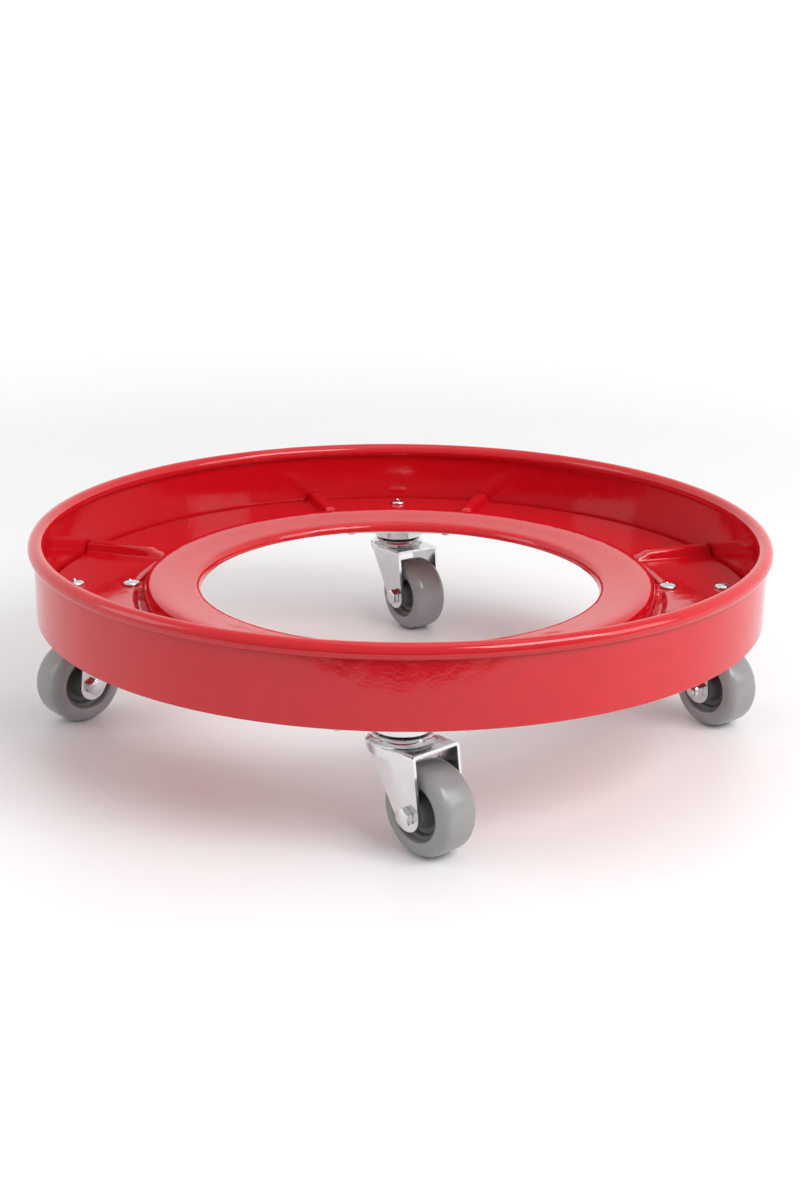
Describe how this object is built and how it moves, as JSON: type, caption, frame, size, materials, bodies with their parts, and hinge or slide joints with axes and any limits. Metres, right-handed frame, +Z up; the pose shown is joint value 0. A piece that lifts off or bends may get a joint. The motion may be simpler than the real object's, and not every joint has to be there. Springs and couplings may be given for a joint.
{
  "type": "drum dolly",
  "caption": "Round pressed-steel drum dolly: deep rolled rim, open ribbed deck and swivel casters with grey wheels.",
  "frame": {"origin": "on the floor, below the centre of the tray", "axes": "+Z up; +X to the right caster and -Y to the front caster, the one nearest the viewer"},
  "size_m": [0.6246, 0.6246, 0.1707],
  "materials": {
    "red_paint": "glossy red powder coat with slight orange peel",
    "bright_zinc": "bright zinc plate on pressed steel",
    "plain_steel": "plain oiled steel",
    "grey_polyurethane": "satin grey polyurethane",
    "core_plastic": "darker grey moulded wheel core"
  },
  "bodies": {
    "root": {"outer_rim": "red_paint", "deck": "red_paint", "saddle_front": "bright_zinc", "top_plate_front": "bright_zinc", "kingpin_front": "plain_steel", "lower_race_front": "plain_steel", "pad_screw_front_inner": "bright_zinc", "pad_screw_front_outer": "bright_zinc", "saddle_back": "bright_zinc", "top_plate_back": "bright_zinc", "kingpin_back": "plain_steel", "lower_race_back": "plain_steel", "pad_screw_back_inner": "bright_zinc", "pad_screw_back_outer": "bright_zinc", "saddle_left": "bright_zinc", "top_plate_left": "bright_zinc", "kingpin_left": "plain_steel", "lower_race_left": "plain_steel", "pad_screw_left_inner": "bright_zinc", "pad_screw_left_outer": "bright_zinc", "saddle_right": "bright_zinc", "top_plate_right": "bright_zinc", "kingpin_right": "plain_steel", "lower_race_right": "plain_steel", "pad_screw_right_inner": "bright_zinc", "pad_screw_right_outer": "bright_zinc"},
    "swivel_fork_front": {"fork_front": "bright_zinc", "axle_bolt_front": "bright_zinc", "axle_nut_front": "bright_zinc", "axle_sleeve_front": "plain_steel"},
    "wheel_front": {"wheel_core_front": "core_plastic", "tyre_front": "grey_polyurethane"},
    "race_balls_front": {"upper_balls_front": "plain_steel", "lower_balls_front": "plain_steel"},
    "swivel_fork_back": {"fork_back": "bright_zinc", "axle_bolt_back": "bright_zinc", "axle_nut_back": "bright_zinc", "axle_sleeve_back": "plain_steel"},
    "wheel_back": {"wheel_core_back": "core_plastic", "tyre_back": "grey_polyurethane"},
    "race_balls_back": {"upper_balls_back": "plain_steel", "lower_balls_back": "plain_steel"},
    "swivel_fork_left": {"fork_left": "bright_zinc", "axle_bolt_left": "bright_zinc", "axle_nut_left": "bright_zinc", "axle_sleeve_left": "plain_steel"},
    "wheel_left": {"wheel_core_left": "core_plastic", "tyre_left": "grey_polyurethane"},
    "race_balls_left": {"upper_balls_left": "plain_steel", "lower_balls_left": "plain_steel"},
    "swivel_fork_right": {"fork_right": "bright_zinc", "axle_bolt_right": "bright_zinc", "axle_nut_right": "bright_zinc", "axle_sleeve_right": "plain_steel"},
    "wheel_right": {"wheel_core_right": "core_plastic", "tyre_right": "grey_polyurethane"},
    "race_balls_right": {"upper_balls_right": "plain_steel", "lower_balls_right": "plain_steel"}
  },
  "joints": [
    {"name": "swivel_front", "type": "hinge", "parent": "root", "child": "swivel_fork_front", "pos_m": [0, -0.256, 0.09], "axis": [0, 0, 1], "continuous": true},
    {"name": "roll_front", "type": "hinge", "parent": "swivel_fork_front", "child": "wheel_front", "pos_m": [0.02007, -0.27829, 0.035], "axis": [0.7431, 0.6691, 0], "continuous": true},
    {"name": "ball_orbit_front", "type": "hinge", "parent": "root", "child": "race_balls_front", "pos_m": [0, -0.256, 0.09], "axis": [0, 0, 1], "continuous": true},
    {"name": "swivel_back", "type": "hinge", "parent": "root", "child": "swivel_fork_back", "pos_m": [0, 0.256, 0.09], "axis": [0, 0, 1], "continuous": true},
    {"name": "roll_back", "type": "hinge", "parent": "swivel_fork_back", "child": "wheel_back", "pos_m": [0.01634, 0.23084, 0.035], "axis": [0.8387, 0.5446, 0], "continuous": true},
    {"name": "ball_orbit_back", "type": "hinge", "parent": "root", "child": "race_balls_back", "pos_m": [0, 0.256, 0.09], "axis": [0, 0, 1], "continuous": true},
    {"name": "swivel_left", "type": "hinge", "parent": "root", "child": "swivel_fork_left", "pos_m": [-0.256, 0, 0.09], "axis": [0, 0, 1], "continuous": true},
    {"name": "roll_left", "type": "hinge", "parent": "swivel_fork_left", "child": "wheel_left", "pos_m": [-0.27794, -0.02046, 0.035], "axis": [0.682, -0.7314, 0], "continuous": true},
    {"name": "ball_orbit_left", "type": "hinge", "parent": "root", "child": "race_balls_left", "pos_m": [-0.256, 0, 0.09], "axis": [0, 0, 1], "continuous": true},
    {"name": "swivel_right", "type": "hinge", "parent": "root", "child": "swivel_fork_right", "pos_m": [0.256, 0, 0.09], "axis": [0, 0, 1], "continuous": true},
    {"name": "roll_right", "type": "hinge", "parent": "swivel_fork_right", "child": "wheel_right", "pos_m": [0.27405, -0.02396, 0.035], "axis": [0.7986, 0.6018, 0], "continuous": true},
    {"name": "ball_orbit_right", "type": "hinge", "parent": "root", "child": "race_balls_right", "pos_m": [0.256, 0, 0.09], "axis": [0, 0, 1], "continuous": true}
  ],
  "couplings": [
    {"joint": "ball_orbit_front", "follows": "swivel_front", "ratio": 0.5},
    {"joint": "ball_orbit_back", "follows": "swivel_back", "ratio": 0.5},
    {"joint": "ball_orbit_left", "follows": "swivel_left", "ratio": 0.5},
    {"joint": "ball_orbit_right", "follows": "swivel_right", "ratio": 0.5}
  ]
}
